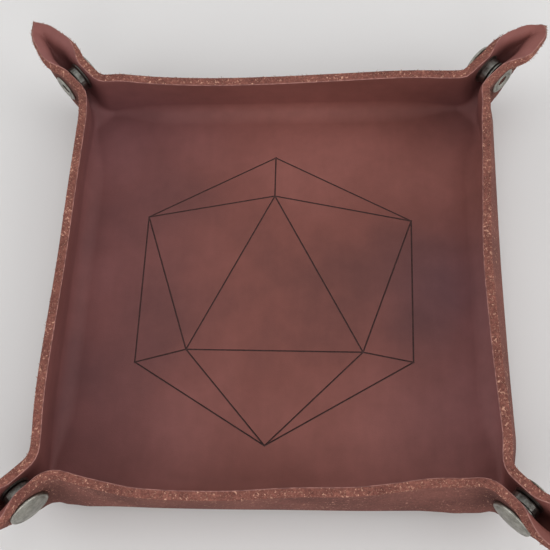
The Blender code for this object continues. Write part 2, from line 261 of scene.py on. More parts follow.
# The streaks' coordinates are finer along X, so that the streaks run along Y
STREAK_STRETCH = (5.0, 1.0, 1.0)

# Pale specks: how rare they are, and their colour
FLESH_SPECKS = (0.635, (0.42, 0.225, 0.163, 1.0))
EDGE_SPECKS = (0.622, (0.52, 0.28, 0.20, 1.0))
SPECK_CROWD = 0.22
SPECK_BLUR = 0.07

# Relief of the surfaces' fine texture
PORE_DEPTH = 0.05 * MM
NAP_DEPTH = 0.3 * MM
TARNISH_DEPTH = 0.03 * MM

# Tone patches, partly the dye's own uneven tone and partly painted light: the lighter ones along the back
# wall, in the back-left corner and by the side walls lift the shade that the walls cast. Place and reach
# in millimetres on the flat sheet, and strength
DYE_AND_LIGHT_PATCHES = [
    (0, -20, 85, -0.25),
    (-18, 8, 34, 0.08),
    (20, -48, 34, 0.12),
    (56, 12, 24, -0.10),
    (-58, 30, 36, -0.20),
    (-66, -30, 34, -0.10),
    (0, 80, 45, 0.24),
    (-46, 42, 20, -0.18),
    (-76, 80, 26, 0.20),
    (10, -22, 22, -0.24),
    (60, -18, 24, -0.22),
    (-20, -64, 24, 0.26),
    (42, -62, 22, 0.26),
    (-82, -10, 26, 0.16),
    (88, 52, 20, 0.20),
    (88, -55, 24, 0.20),
]

# Painted shade: cooler, greyer patches for the cast of shade along the side walls and in the corners, and
# what they do to the colour
SHADE_CAST_PATCHES = [
    (-74, 78, 40, 0.8),
    (-74, 10, 36, 0.55),
    (-74, -55, 40, 0.65),
    (70, 2, 22, 0.9),
    (78, -45, 34, 0.6),
    (86, 88, 22, 0.6),
]
SHADE_CAST_TINT = (1.0, 1.18, 1.50, 1.0)

# Painted shade: a darker strip along the floor-to-wall fold, which dims the bright band the lamps put on
# the bend; middle, reach and strength
FOLD_SHADE = (81.5 * MM, 6.0 * MM, -0.07)

# Painted shade on the flesh around the snaps, where the bend of the crease shades it: flat place, reach
# and share of its colour
SNAP_SHADE = (82.0 * MM, 103.0 * MM, 10.0 * MM, 0.45)

# Soft studio light: name, place, size and power
LAMPS = [
    ("overhead", (0.1, 0.3, 1.1), 1.0, 2.5),
    ("front_fill", (0.05, -0.9, 0.75), 0.9, 4.0),
    ("left_fill", (-0.9, -0.1, 0.6), 0.9, 3.0),
    ("right_fill", (0.9, -0.1, 0.6), 0.9, 4.0),
]
GROUND_REACH = 3.0

# Brightness of the world, from the horizon to straight above
WORLD_LIGHT = [(0.0, 0.98), (1.0, 0.36)]

# Camera, fitted to the engraved figure's corners
CAMERA_PLACE = (25.9 * MM, -125.6 * MM, 316.3 * MM)
CAMERA_AIM = (-1.45 * MM, 6.32 * MM, 0.0)
CAMERA_ROLL_DEG = -10.8
CAMERA_LENS = 55.65
CAMERA_SENSOR = 36.0
CAMERA_NEAR = 10.0 * MM


# Folded shape of the sheet's middle surface

def fold(run, lift, turn, radius, toward):
    """Carry points of a flat strip over a fold at run = 0.

    lift is the height above the strip's middle. The strip turns towards +lift
    or -lift round a bend of this radius, between the same two planes as a sharp
    fold at the leather's inner face.
    """
    slack = MIDDLE * math.tan(turn / 2)
    reach = radius * math.tan(turn / 2)
    first, last = slack - reach, reach - slack
    angle = turn * np.clip((run - first) / (last - first), 0, 1)
    beyond = np.maximum(run - last, 0)
    along = np.minimum(run, first) + radius * np.sin(angle) + beyond * math.cos(turn)
    height = radius * (1 - np.cos(angle)) + beyond * math.sin(turn)
    inner = toward * lift
    return along - inner * np.sin(angle), toward * (height + inner * np.cos(angle))


def fold_start(turn, radius):
    """Distance from the fold at which its bend begins and ends."""
    return (radius - MIDDLE) * math.tan(turn / 2)


FLOOR_EDGE = FLOOR_HALF - fold_start(WALL_FOLD, WALL_BEND)
CREASE_START_FOOT = fold_start(EAR_FOLD, CREASE_BEND_FOOT)
CREASE_START_RIM = fold_start(EAR_FOLD, CREASE_BEND_RIM)


def crease_place(u, v):
    """Distance past the crease, and along it, of a flat point of a wall's +u side."""
    x, y = u - CREASE_FOOT, v - FLOOR_HALF
    past = x * math.cos(SLANT) + y * math.sin(SLANT)
    along = y * math.cos(SLANT) - x * math.sin(SLANT)
    return past, along


def smooth_step(value):
    value = np.clip(value, 0, 1)
    return value * value * (3 - 2 * value)


def wave(table, spots):
    """Blurred interpolation in a table of (share, millimetres)."""
    shares, pushes = zip(*table)
    total = np.zeros_like(spots)
    for tap in WAVE_TAPS:
        total += np.interp(spots + tap * WAVE_BLUR, shares, pushes)
    return total * MM / len(WAVE_TAPS)


def wall_push(name, u, v):
    """How far a wall's leather stands outward of its flat plane."""
    spots = u / (CREASE_FOOT - WALL_DEPTH * math.tan(SLANT))
    past, _ = crease_place(np.abs(u), v)
    ends = smooth_step((WAVE_END - past) / WAVE_FADE)
    rise = np.clip((v - FLOOR_HALF) / WALL_DEPTH, 0, PAST_RIM)
    belly = 4 * rise * np.clip(1 - rise, 0, 1)
    rim_push = wave(RIM_WAVES[name], spots) * rise ** WAVE_POWER
    return (rim_push + wave(BELLIES[name], spots) * belly) * ends


def ear_section(off, along):
    """Cross-section of a half ear: distances from the middle plane and from the ridge.

    At the snap the leather turns up through a quarter bend and runs parallel to
    the middle plane. Towards the tip its ridge is sharper and its lip flares out.
    """
    cup = smooth_step((along - CUP_START) / (CUP_FULL - CUP_START))
    width = np.maximum(EAR_LENGTH - along, MM)
    apart = np.zeros_like(off)
    away = np.zeros_like(off)
    for step in range(SECTION_STEPS):
        spot = off * (step + 0.5) / SECTION_STEPS
        plain = 90.0 * np.clip(spot / RIDGE_ARC, 0, 1)
        lip = smooth_step((spot - width + CUP_LIP) / CUP_LIP)
        tulip = CUP_SIDE_DEG * np.sin(np.pi / 2 * np.clip(spot / CUP_RIDGE_ARC, 0, 1)) - CUP_LIP_DEG * lip
        turn = np.radians(plain + (tulip - plain) * cup)
        apart += np.cos(turn) * off / SECTION_STEPS
        away += np.sin(turn) * off / SECTION_STEPS
    return apart, away


def folded(name, u, v):
    """Middle surface of a wall's sector: u along the wall, v outward, before its turn.

    Returns the place along, outward and up. Without a name, the wall has no waves.
    """
    side = np.where(u < 0, -1.0, 1.0)
    flat_u = np.abs(u)
    beyond_fold = v > FLOOR_HALF
    along = (flat_u + v - 2 * FLOOR_HALF) / math.sqrt(2)
    off = (v - flat_u) / math.sqrt(2)
    apart, away = ear_section(np.maximum(off, 0), along)
    past, _ = crease_place(flat_u, v)
    in_ear = beyond_fold & (past > 0)
    bent_off = np.where(in_ear, RIDGE_ARC - RIDGE_BEND + away, off)
    lift = np.where(in_ear, RIDGE_BEND - apart, 0)
    ridge_u = FLOOR_HALF + (along - bent_off) / math.sqrt(2)
    ridge_v = FLOOR_HALF + (along + bent_off) / math.sqrt(2)
    past, up_crease = crease_place(ridge_u, ridge_v)
    share = np.clip(up_crease / WALL_DEPTH, 0, PAST_RIM)
    rim_bend = np.full_like(flat_u, CREASE_BEND_RIM)
    if name is not None:
        ears = [f"{corner}_ear_{name}" for corner in WALLS[name][1:]]
        own = np.where(side > 0, *(SHARP_CREASES.get(ear, CREASE_BEND_RIM) for ear in ears))
        rim_bend = rim_bend + (own - rim_bend) * smooth_step((share - SHARP_START) / SHARP_RUN)
    radius = CREASE_BEND_FOOT + (rim_bend - CREASE_BEND_FOOT) * share
    bent_past, bent_lift = fold(past, lift, EAR_FOLD, radius, -1)
    bent_past = np.where(beyond_fold, bent_past, past)
    bent_lift = np.where(beyond_fold, bent_lift, lift)
    x = CREASE_FOOT + bent_past * math.cos(SLANT) - up_crease * math.sin(SLANT)
    y = bent_past * math.sin(SLANT) + up_crease * math.cos(SLANT)
    if name is not None:
        bent_lift = bent_lift - wall_push(name, u, v)
    middle_share = smooth_step((CREASE_FOOT - flat_u) / WALL_BEND_RUN)
    bend = WALL_BEND_END + (WALL_BEND - WALL_BEND_END) * middle_share
    outward, up = fold(y, bent_lift, WALL_FOLD, bend, 1)
    if name is not None:
        ends = smooth_step((CREASE_FOOT - flat_u) / WAVE_FADE)
        rise = smooth_step((v - FLOOR_HALF) / FOOT_SHIFT_RUN + 1)
        outward = outward + FOOT_SHIFTS[name] * ends * rise
    return side * x, FLOOR_HALF + outward, MIDDLE + up


def corner_surface(x, y):
    """folded() for both sectors of the +x +y corner."""
    swap = x > y
    u, v = np.where(swap, y, x), np.where(swap, x, y)
    along, outward, up = folded(None, u, v)
    return np.stack([np.where(swap, outward, along), np.where(swap, along, outward), up], axis=-1)


def pinched_corner():
    """The leather's pinched corner, at the foot of an ear, on a fine grid.

    Five folds meet there, so its points settle into the smoothest surface that
    joins the floor, the two walls and the ear.
    """
    low = FLOOR_HALF - PINCH_RADIUS - 2 * PINCH_STEP
    count = int(round(2 * (PINCH_RADIUS + 3 * PINCH_STEP) / PINCH_STEP)) + 1
    ticks = low + PINCH_STEP * np.arange(count)
    x, y = np.meshgrid(ticks, ticks, indexing="ij")
    points = corner_surface(x, y)
    distance = np.hypot(x - FLOOR_HALF - PINCH_STEP, y - FLOOR_HALF - PINCH_STEP)
    free = (distance < PINCH_RADIUS) & (np.maximum(x, y) > FLOOR_EDGE + PINCH_STEP / 2)
    number = np.full(free.shape, -1)
    number[free] = np.arange(free.sum())
    rows = []
    known = []
    for i in range(1, count - 1):
        for j in range(1, count - 1):
            ring = [(i, j, 4.0), (i + 1, j, -1.0), (i - 1, j, -1.0), (i, j + 1, -1.0), (i, j - 1, -1.0)]
            if not any(free[a, b] for a, b, _ in ring):
                continue
            row = np.zeros(free.sum())
            right = np.zeros(3)
            for a, b, weight in ring:
                if free[a, b]:
                    row[number[a, b]] += weight
                else:
                    right -= weight * points[a, b]
            rows.append(row)
            known.append(right)
    points[free] = np.linalg.lstsq(np.array(rows), np.array(known), rcond=None)[0]
    return low, points, free


PINCH_LOW, PINCH_POINTS, PINCH_FREE = pinched_corner()


def pinch_lookup(x, y, surface):
    """Replace points near the +x +y corner by the settled grid's."""
    i = (x - PINCH_LOW) / PINCH_STEP
    j = (y - PINCH_LOW) / PINCH_STEP
    last = PINCH_POINTS.shape[0] - 2
    inside = (i >= 0) & (j >= 0) & (i <= last) & (j <= last)
    a = np.clip(i.astype(int), 0, last)
    b = np.clip(j.astype(int), 0, last)
    touched = PINCH_FREE[a, b] | PINCH_FREE[a + 1, b] | PINCH_FREE[a, b + 1] | PINCH_FREE[a + 1, b + 1]
    s = (i - a)[..., None]
    t = (j - b)[..., None]
    value = ((1 - s) * (1 - t) * PINCH_POINTS[a, b] + s * (1 - t) * PINCH_POINTS[a + 1, b]
             + (1 - s) * t * PINCH_POINTS[a, b + 1] + s * t * PINCH_POINTS[a + 1, b + 1])
    return np.where((inside & touched)[..., None], value, surface)


def sheet_middle(x, y):
    """Place of the leather's middle surface over any point of the flat sheet."""
    result = np.zeros(x.shape + (3,))
    for name, (turn_deg, _, _) in WALLS.items():
        cos, sin = math.cos(math.radians(turn_deg)), math.sin(math.radians(turn_deg))
        u, v = x * cos + y * sin, y * cos - x * sin
        along, outward, up = folded(name, u, v)
        place = np.stack([along * cos - outward * sin, along * sin + outward * cos, up], axis=-1)
        result = np.where((v >= np.abs(u))[..., None], place, result)
    signs = np.stack([np.where(x < 0, -1.0, 1.0), np.where(y < 0, -1.0, 1.0), np.ones_like(x)], axis=-1)
    settled = pinch_lookup(np.abs(x), np.abs(y), result * signs) * signs
    return settled + tip_bend(x, y) + lip_lean(x, y)


def in_quarter(corner, x, y):
    """Whether points of the flat sheet lie in a corner's quarter of it."""
    return ((y > 0) == corner.startswith("back")) & ((x > 0) == corner.endswith("right"))


def tip_bend(x, y):
    """Shift of an ear's outer part, growing towards its tip."""
    along = (np.abs(x) + np.abs(y) - 2 * FLOOR_HALF) / math.sqrt(2)
    in_corner = np.minimum(np.abs(x), np.abs(y)) > FLOOR_HALF - WALL_DEPTH
    run = EAR_LENGTH - TIP_BEND_START
    share = np.where(in_corner, np.clip((along - TIP_BEND_START) / run, 0, PAST_RIM), 0)
    shift = np.zeros(x.shape + (3,))
    for corner, bend in TIP_BENDS.items():
        weight = in_quarter(corner, x, y) * share ** TIP_BEND_POWER
        shift += weight[..., None] * np.array(bend) * MM
    return shift


def lip_lean(x, y):
    """Sideways shift of an ear's lip, fading towards its ridge, its tip and its wall."""
    outer, inner = np.maximum(np.abs(x), np.abs(y)), np.minimum(np.abs(x), np.abs(y))
    along = (outer + inner - 2 * FLOOR_HALF) / math.sqrt(2)
    width = np.maximum(EAR_LENGTH - along, MM)
    lip = np.clip((outer - inner) / math.sqrt(2) / width, 0, PAST_RIM) ** LIP_POWER
    rise = smooth_step((along - LIP_START) / LIP_RUN)
    weight = lip * rise * smooth_step((EAR_LENGTH - along) / (EAR_LENGTH - LIP_END))
    shift = np.zeros(x.shape + (3,))
    for ear, (lean_x, lean_y) in LIP_LEANS.items():
        corner, wall = ear.rsplit("_ear_", 1)
        sector = (np.abs(x) > np.abs(y)) if wall in ("left", "right") else (np.abs(y) > np.abs(x))
        inside = in_quarter(corner, x, y) & sector
        shift += (inside * weight)[..., None] * np.array((lean_x, lean_y, 0.0)) * MM
    return shift


def sheet_normal(x, y):
    """Direction of the grain side over a point of the flat sheet."""
    slope_x = sheet_middle(x + SLOPE_STEP, y) - sheet_middle(x - SLOPE_STEP, y)
    slope_y = sheet_middle(x, y + SLOPE_STEP) - sheet_middle(x, y - SLOPE_STEP)
    normal = np.cross(slope_x, slope_y)
    return normal / np.linalg.norm(normal, axis=-1, keepdims=True)


def rim_direction(coords, middle):
    """Direction in which the sheet would go on past each of its rim's points."""
    push = np.where(np.abs(coords) > SHEET_HALF - FLAT_TOLERANCE, np.copysign(SLOPE_STEP, coords), 0.0)
    beyond = sheet_middle(coords[:, 0] + push[:, 0], coords[:, 1] + push[:, 1]) - middle
    return beyond / np.maximum(np.linalg.norm(beyond, axis=1, keepdims=True), FLAT_TOLERANCE)


# Materials

def new_material(name):
    material = bpy.data.materials.new(name)
    material.use_nodes = True
    tree = material.node_tree
    return material, tree, tree.nodes["Principled BSDF"]


def finish_surface(tree, shader, colour, roughness, specular=0.5):
    tree.links.new(colour, shader.inputs["Base Color"])
    shader.inputs["Roughness"].default_value = roughness
    shader.inputs["Specular IOR Level"].default_value = specular


def node(tree, kind, **settings):
    made = tree.nodes.new(kind)
    for key, value in settings.items():
        setattr(made, key, value)
    return made


def feed(tree, socket, value):
    """Set a socket to a value, or link it to another socket."""
    if isinstance(value, bpy.types.NodeSocket):
        tree.links.new(value, socket)
    else:
        socket.default_value = value


def sheet_coordinates(tree):
    """The flat sheet's own coordinates, so that the surface detail stays on the leather."""
    return node(tree, "ShaderNodeAttribute", attribute_name="sheet").outputs["Vector"]


def calculate(tree, operation, first, second, kind="Math", output="Value"):
    made = node(tree, "ShaderNode" + kind, operation=operation)
    feed(tree, made.inputs[0], first)
    feed(tree, made.inputs[1], second)
    return made.outputs[output]


def noise_value(tree, place, scale, detail=4.0, rough=0.5):
    made = node(tree, "ShaderNodeTexNoise")
    made.inputs["Scale"].default_value = scale
    made.inputs["Detail"].default_value = detail
    made.inputs["Roughness"].default_value = rough
    tree.links.new(place, made.inputs["Vector"])
    return made.outputs["Fac"]


def ramp(tree, value, stops):
    made = node(tree, "ShaderNodeValToRGB")
    elements = made.color_ramp.elements
    while len(elements) < len(stops):
        elements.new(0.5)
    for element, (spot, colour) in zip(elements, stops):
        element.position = spot
        element.color = (*colour, 1.0)
    tree.links.new(value, made.inputs["Fac"])
    return made.outputs["Color"]


def mix(tree, share, first, second, kind="MIX"):
    made = node(tree, "ShaderNodeMix", data_type="RGBA", blend_type=kind)
    sockets = {socket.name: socket for socket in made.inputs if socket.enabled}
    for name, value in (("Factor", share), ("A", first), ("B", second)):
        feed(tree, sockets[name], value)
    return next(socket for socket in made.outputs if socket.enabled)


def tinted(tree, colour, tint):
    return mix(tree, 1.0, colour, tint, "MULTIPLY")


def bump(tree, shader, height, distance):
    made = node(tree, "ShaderNodeBump")
    made.inputs["Distance"].default_value = distance
    tree.links.new(height, made.inputs["Height"])
    tree.links.new(made.outputs["Normal"], shader.inputs["Normal"])


def bell(tree, value, middle, reach):
    """1 where the value is at its middle, 0.4 one reach away from it."""
    distance = calculate(tree, "DIVIDE", calculate(tree, "SUBTRACT", value, middle), reach)
    return calculate(tree, "POWER", 0.4, calculate(tree, "MULTIPLY", distance, distance))


def side_distances(tree, place):
    """Larger and smaller distance of a flat place from the sheet's two middle lines."""
    split = node(tree, "ShaderNodeSeparateXYZ")
    tree.links.new(place, split.inputs["Vector"])
    away_x, away_y = (calculate(tree, "ABSOLUTE", split.outputs[axis], 0.0) for axis in ("X", "Y"))
    return calculate(tree, "MAXIMUM", away_x, away_y), calculate(tree, "MINIMUM", away_x, away_y)


def add_share(tree, total, value, share):
    return calculate(tree, "ADD", total, calculate(tree, "MULTIPLY", value, share))


def patches(tree, place, table, total):
    """Add soft round patches, (x, y, reach, strength) in millimetres, to a value."""
    for spot_x, spot_y, reach, share in table:
        away = calculate(tree, "DISTANCE", place, (spot_x * MM, spot_y * MM, 0.0), "VectorMath")
        total = add_share(tree, total, bell(tree, away, 0.0, reach * MM), share)
    return total


def specks(tree, place, threshold):
    """Sparse pale specks, more of them in some patches than in others."""
    grains = noise_value(tree, place, scale=1050.0, detail=2.0, rough=0.6)
    crowd = noise_value(tree, place, scale=45.0, detail=2.0)
    lifted = add_share(tree, grains, calculate(tree, "SUBTRACT", crowd, 0.5), SPECK_CROWD)
    return ramp(tree, lifted, [(threshold, (0.0,) * 3), (threshold + SPECK_BLUR, (1.0,) * 3)])


def speckled(tree, place, colour, threshold, pale):
    return mix(tree, specks(tree, place, threshold), colour, pale)


def grain_material():
    material, tree, shader = new_material("leather_grain")
    place = sheet_coordinates(tree)
    # The dye's uneven tone, with painted light lifting the shade near the walls
    broad = patches(tree, place, DYE_AND_LIGHT_PATCHES, noise_value(tree, place, scale=17.0, detail=3.0))
    # Painted shade along the floor-to-wall fold
    middle, reach, share = FOLD_SHADE
    far_side, _ = side_distances(tree, place)
    colour = ramp(tree, add_share(tree, broad, bell(tree, far_side, middle, reach), share), GRAIN_RAMP)
    # Painted shade: the cool grey cast of shade by the walls and in the corners
    shade_cast = patches(tree, place, SHADE_CAST_PATCHES, 0.0)
    colour = mix(tree, shade_cast, colour, tinted(tree, colour, SHADE_CAST_TINT))
    fine = noise_value(tree, place, scale=150.0, detail=6.0, rough=0.6)
    colour = tinted(tree, colour, ramp(tree, fine, GRAIN_MOTTLE))
    stretched = calculate(tree, "MULTIPLY", place, STREAK_STRETCH, "VectorMath", "Vector")
    streaks = noise_value(tree, stretched, scale=60.0, rough=0.6)
    colour = tinted(tree, colour, ramp(tree, streaks, GRAIN_STREAKS))
    finish_surface(tree, shader, colour, roughness=0.66, specular=0.22)
    bump(tree, shader, noise_value(tree, place, scale=1800.0, detail=3.0), PORE_DEPTH)
    return material


def flesh_material():
    material, tree, shader = new_material("leather_flesh")
    place = sheet_coordinates(tree)
    nap = noise_value(tree, place, scale=900.0, detail=5.0, rough=0.7)
    colour = ramp(tree, noise_value(tree, place, scale=60.0), FLESH_RAMP)
    colour = tinted(tree, colour, ramp(tree, nap, FLESH_NAP))
    # Painted shade on the flesh between each snap and the end of its wall
    snap_x, snap_y, reach, share = SNAP_SHADE
    far_side, near_side = side_distances(tree, place)
    near_rim = bell(tree, far_side, snap_y, reach)
    near_snap = bell(tree, near_side, snap_x, reach)
    crease_shadow = calculate(tree, "MULTIPLY", near_rim, near_snap)
    colour = mix(tree, crease_shadow, colour, tinted(tree, colour, (share, share, share, 1.0)))
    colour = speckled(tree, place, colour, *FLESH_SPECKS)
    finish_surface(tree, shader, colour, roughness=0.95, specular=0.1)
    bump(tree, shader, nap, NAP_DEPTH)
    return material


def edge_material():
    material, tree, shader = new_material("leather_edge")
    place = sheet_coordinates(tree)
    nap = noise_value(tree, place, scale=1100.0, rough=0.65)
    patch = noise_value(tree, place, scale=90.0, detail=3.0)
    colour = tinted(tree, ramp(tree, nap, EDGE_RAMP), ramp(tree, patch, EDGE_PATCHES))
    colour = speckled(tree, place, colour, *EDGE_SPECKS)
    finish_surface(tree, shader, colour, roughness=0.9, specular=0.1)
    bump(tree, shader, nap, NAP_DEPTH)
    return material


def mottled_material(name, stops, roughness, scale, detail):
    """A small leather surface whose colour only follows one noise."""
    material, tree, shader = new_material(name)
    mottle = noise_value(tree, sheet_coordinates(tree), scale, detail)
    finish_surface(tree, shader, ramp(tree, mottle, stops), roughness)
    return material


def metal_material(name, stops, roughness):
    material, tree, shader = new_material(name)
    place = node(tree, "ShaderNodeTexCoord").outputs["Object"]
    tarnish = noise_value(tree, place, scale=420.0, detail=5.0, rough=0.6)
    finish_surface(tree, shader, ramp(tree, tarnish, stops), roughness)
    shader.inputs["Metallic"].default_value = 1.0
    bump(tree, shader, noise_value(tree, place, scale=2500.0, detail=3.0), TARNISH_DEPTH)
    return material


GRAIN = grain_material()
FLESH = flesh_material()
EDGE = edge_material()
# Partly wear, partly a painted highlight on the grain's corner of the raw edge
WORN_HIGHLIGHT = mottled_material("leather_worn_highlight_line", WORN_HIGHLIGHT_RAMP, roughness=0.7, scale=500.0, detail=4.0)
FIBRE = mottled_material("leather_fibre", FIBRE_RAMP, roughness=0.9, scale=1200.0, detail=2.0)
CHAR = mottled_material("engraved_char", CHAR_RAMP, roughness=0.85, scale=900.0, detail=3.0)
PEWTER = metal_material("antique_pewter", PEWTER_RAMP, roughness=0.42)
DARK_PEWTER = metal_material("dark_pewter", DARK_PEWTER_RAMP, roughness=0.36)
TARNISH = metal_material("tarnish", TARNISH_RAMP, roughness=0.6)


# Leather pieces

def add_object(name, data):
    obj = bpy.data.objects.new(name, data)
    bpy.context.scene.collection.objects.link(obj)
    return obj


def mesh_from(bm, name, *materials):
    mesh = bpy.data.meshes.new(name)
    bm.to_mesh(mesh)
    bm.free()
    for material in materials:
        mesh.materials.append(material)
    return mesh


def wall_axes(name):
    """Directions along and outward of a wall, in the flat sheet."""
    turn = math.radians(WALLS[name][0])
    return Vector((math.cos(turn), math.sin(turn))), Vector((-math.sin(turn), math.cos(turn)))


def crease_axes(name, side):
    """A crease in the flat sheet: its foot, and the directions across and up it."""
    along, outward = wall_axes(name)
    foot = along * side * CREASE_FOOT + outward * FLOOR_HALF
    across = along * side * math.cos(SLANT) + outward * math.sin(SLANT)
    up = outward * math.cos(SLANT) - along * side * math.sin(SLANT)
    return foot, across, up


def flat_sheet():
    """The flat sheet as a mesh with edges along every cut between pieces."""
    bm = bmesh.new()
    count = round(2 * SHEET_HALF / SHEET_STEP)
    bmesh.ops.create_grid(bm, x_segments=count, y_segments=count, size=SHEET_HALF)

    def split(keep, through, across):
        faces = [face for face in bm.faces if keep(face.calc_center_median())]
        geometry = set(faces)
        for face in faces:
            geometry.update(face.verts, face.edges)
        bmesh.ops.bisect_plane(bm, geom=list(geometry), dist=FLAT_TOLERANCE,
                               plane_co=through.to_3d(), plane_no=across.to_3d())

    for name in WALLS:
        _, outward = wall_axes(name)
        split(lambda c: True, outward * FLOOR_EDGE, outward)
    for name in WALLS:
        along, outward = wall_axes(name)
        for side in (-1, 1):
            foot, across, up = crease_axes(name, side)
            start = foot - across * CREASE_START_FOOT
            end = foot + up * WALL_DEPTH - across * CREASE_START_RIM
            run = (end - start).normalized()
            split(lambda c: c.xy.dot(outward) > FLOOR_EDGE and c.xy.dot(along) * side > 0,
                  start, Vector((run.y, -run.x)))
    for side in (-1, 1):
        split(lambda c: min(abs(c.x), abs(c.y)) > FLOOR_EDGE, Vector((0, 0)), Vector((1, -side)))
    return bm


def piece_name(centre):
    """Which piece of leather a face of the flat sheet belongs to."""
    x, y = centre.x, centre.y
    if max(abs(x), abs(y)) < FLOOR_EDGE:
        return "floor_panel"
    name = max(WALLS, key=lambda wall: centre.xy.dot(wall_axes(wall)[1]))
    u, v = (centre.xy.dot(axis) for axis in wall_axes(name))
    past, up = crease_place(abs(u), v)
    start = CREASE_START_FOOT + (CREASE_START_RIM - CREASE_START_FOOT) * (up / WALL_DEPTH)
    if past > -start:
        return f"{WALLS[name][1 if u > 0 else 2]}_ear_{name}"
    return name + "_wall"


def border_edges(faces):
    """Directed edges that only one of the faces has."""
    seen = {}
    for face in faces:
        for a, b in zip(face, face[1:] + face[:1]):
            key = (min(a, b), max(a, b))
            seen[key] = None if key in seen else (a, b)
    return [pair for pair in seen.values() if pair]


def add_attribute(mesh, places):
    """Keep the flat sheet's coordinates in the mesh, for sheet_coordinates()."""
    attribute = mesh.attributes.new("sheet", "FLOAT_VECTOR", "POINT")
    attribute.data.foreach_set("vector", np.array(places, np.float32).ravel())


class Piece:
    """Points, faces and flat places of one closed piece of leather."""

    def __init__(self, name, faces, coords, middle, normal, ahead):
        self.name, self.faces = name, faces
        self.coords, self.middle, self.normal, self.ahead = coords, middle, normal, ahead
        self.used = sorted({index for face in faces for index in face})
        self.number = {index: k for k, index in enumerate(self.used)}
        self.count = len(self.used)
        self.verts = [middle[i] + normal[i] * lift for lift in (MIDDLE, -MIDDLE) for i in self.used]
        self.places = [(*coords[i], depth) for depth in (0.0, -LEATHER) for i in self.used]
        self.polygons = []
        self.slots = []
        self.columns = {}
        self.random = random.Random(name)

    def add_face(self, corners, slot):
        self.polygons.append(corners)
        self.slots.append(slot)

    def add_vert(self, place, flat):
        self.verts.append(place)
        self.places.append(tuple(flat))
        return len(self.verts) - 1

    def sides(self):
        """Grain and flesh faces."""
        for face in self.faces:
            self.add_face([self.number[i] for i in face], GRAIN_SLOT)
            self.add_face([self.number[i] + self.count for i in reversed(face)], FLESH_SLOT)

    def column(self, i):
        """Vertices through the thickness at a rim point."""
        if i not in self.columns:
            x, y = self.coords[i]
            line = [self.number[i]]
            for share, push in RIM_PROFILE:
                depth = MIDDLE - LEATHER * share
                rough = noise.noise(Vector((x, y, depth)) / RIM_ROUGH_SIZE) * RIM_ROUGH
                place = self.middle[i] + self.normal[i] * depth + self.ahead[i] * (push * MM + rough)
                line.append(self.add_vert(place, (x, y, -LEATHER * share)))
            line.append(self.number[i] + self.count)
            self.columns[i] = line
        return self.columns[i]

    def edge(self, a, b):
        """The raw edge, or a plain cut where the next piece carries on."""
        on_rim = [np.abs(self.coords[i]).max() > SHEET_HALF - FLAT_TOLERANCE for i in (a, b)]
        first, second = (self.column(i) if raw else [self.number[i], self.number[i] + self.count]
                         for i, raw in zip((a, b), on_rim))
        if not all(on_rim):
            self.add_face(second[:1] + first + second[:0:-1], GRAIN_SLOT)
            return
        for step in range(len(RIM_PROFILE) + 1):
            # The strip at the grain's corner is paler: partly wear, partly a painted highlight
            slot = WORN_HIGHLIGHT_SLOT if step == 0 else EDGE_SLOT
            self.add_face([second[step], first[step], first[step + 1], second[step + 1]], slot)
        for _ in range(FIBRES_PER_STEP):
            self.fibre(a, b)

    def fibre(self, a, b):
        """A loose fibre standing off the raw edge: a bent, three-sided needle."""
        normal, ahead = self.normal[a], self.ahead[a]
        along = self.middle[b] - self.middle[a]
        draw = self.random.uniform
        share = draw(0, 1)
        depth = LEATHER * (0.5 - draw(0.02, 1.0) ** FIBRE_DEPTH_POWER)
        root = self.middle[a] + along * share + normal * depth + ahead * FIBRE_ROOT
        flat = (*(self.coords[a] + (self.coords[b] - self.coords[a]) * share), depth - MIDDLE)
        along = along / np.linalg.norm(along)
        lean = along * draw(*FIBRE_SIDEWAYS) + normal * draw(*FIBRE_UPWARD)
        first = ahead * draw(*FIBRE_ROOT_AHEAD) + lean * 0.5
        second = ahead * draw(*FIBRE_TIP_AHEAD) + lean
        length = draw(*FIBRE_LENGTH) / 2
        broad = np.cross(first, normal + along * draw(-1, 1))
        broad = broad / np.linalg.norm(broad) * FIBRE_WIDTH / 2
        first = first / np.linalg.norm(first)
        high = np.cross(first, broad) * math.sqrt(3) / 2
        ring = (broad, high - broad / 2, -high - broad / 2)
        bend = root + first * length
        tip = self.add_vert(bend + second / np.linalg.norm(second) * length, flat)
        low = [self.add_vert(root + spot, flat) for spot in ring]
        top = [self.add_vert(bend + spot, flat) for spot in ring]
        self.add_face(low[::-1], FIBRE_SLOT)
        for k in range(3):
            following = (k + 1) % 3
            self.add_face([low[k], low[following], top[following], top[k]], FIBRE_SLOT)
            self.add_face([top[k], top[following], tip], FIBRE_SLOT)

    def build(self):
        self.sides()
        for a, b in border_edges(self.faces):
            self.edge(a, b)
        mesh = bpy.data.meshes.new("leather_" + self.name)
        mesh.from_pydata([tuple(v) for v in self.verts], [], self.polygons)
        for material in (GRAIN, FLESH, EDGE, WORN_HIGHLIGHT, FIBRE):
            mesh.materials.append(material)
        mesh.polygons.foreach_set("material_index", self.slots)
        mesh.polygons.foreach_set("use_smooth", [True] * len(self.polygons))
        add_attribute(mesh, self.places)
        mesh.update()
        mesh.normals_split_custom_set(self.loop_normals(mesh))
        return add_object("leather_" + self.name, mesh)

    def loop_normals(self, mesh):
        """Normals of the whole sheet on both sides, so that no seam shows between pieces."""
        band = {}
        for polygon in mesh.polygons:
            if polygon.material_index in (EDGE_SLOT, WORN_HIGHLIGHT_SLOT):
                for vertex in polygon.vertices:
                    band[vertex] = band.get(vertex, Vector()) + polygon.normal * polygon.area
        normals = []
        for polygon in mesh.polygons:
            on_side = polygon.index < 2 * len(self.faces)
            for vertex in polygon.vertices:
                if on_side:
                    sign = 1 if vertex < self.count else -1
                    normals.append(tuple(sign * self.normal[self.used[vertex % self.count]]))
                elif polygon.material_index in (EDGE_SLOT, WORN_HIGHLIGHT_SLOT):
                    normals.append(tuple(band[vertex].normalized()))
                else:
                    normals.append(tuple(polygon.normal))
        return normals


